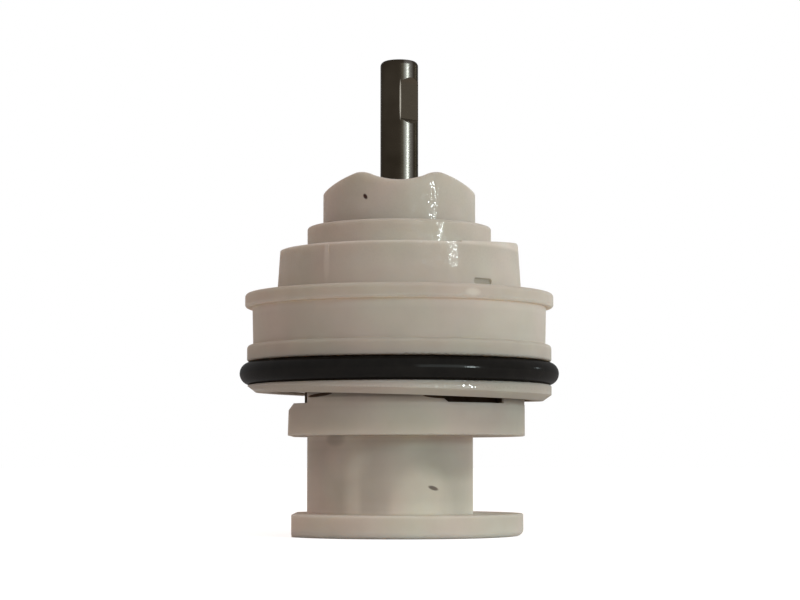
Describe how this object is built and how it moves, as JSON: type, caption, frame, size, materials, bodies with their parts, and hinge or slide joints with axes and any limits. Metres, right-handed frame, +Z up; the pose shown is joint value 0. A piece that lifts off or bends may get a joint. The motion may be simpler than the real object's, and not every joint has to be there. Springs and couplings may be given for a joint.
{
  "type": "faucet cartridge",
  "caption": "Single-lever mixer cartridge: stepped white plastic housing with an O-ring, clipped-in base, arched turning neck and a tilting steel stem.",
  "frame": {"origin": "on the axis of the barrel, in the plane of the foot's underside", "axes": "+Z up along the barrel towards the stem; -Y is the front, the side of the two inlets, where the stem's top points when the valve is closed; +X is to the right"},
  "size_m": [0.0434, 0.0434, 0.0649],
  "materials": {
    "milky_plastic": "satin, slightly translucent",
    "driver_plastic": "matte",
    "slip_plastic": "waxy",
    "rubber": "semi-matte",
    "ceramic": "lapped",
    "steel": "ground",
    "stem_steel": "drawn, dull"
  },
  "bodies": {
    "housing_body": {"housing": "milky_plastic", "base": "milky_plastic", "body_o_ring": "rubber", "fixed_disc": "ceramic", "port_gasket": "rubber", "hot_inlet_seal": "rubber", "cold_inlet_seal": "rubber", "slip_ring": "slip_plastic"},
    "carrier_body": {"carrier": "milky_plastic", "carrier_o_ring": "rubber", "pivot_pin": "steel", "glide_plate": "steel"},
    "stem_body": {"stem": "stem_steel"},
    "driver_body": {"disc_driver": "driver_plastic", "driver_seal": "rubber", "moving_disc": "ceramic"}
  },
  "joints": [
    {"name": "temperature_swivel", "type": "hinge", "parent": "housing_body", "child": "carrier_body", "pos_m": [0, 0, 0.0418], "axis": [0, 0, 1], "range_deg": [-50, 50]},
    {"name": "flow_tilt", "type": "hinge", "parent": "carrier_body", "child": "stem_body", "pos_m": [0, 0, 0.04], "axis": [1, 0, 0], "range_deg": [-12.5, 12.5]},
    {"name": "disc_slide", "type": "slide", "parent": "carrier_body", "child": "driver_body", "axis": [0, 1, 0], "range_m": [-0.0021, 0.0021]}
  ],
  "couplings": [
    {"joint": "disc_slide", "follows": "flow_tilt", "m_per_rad": 0.009329}
  ]
}
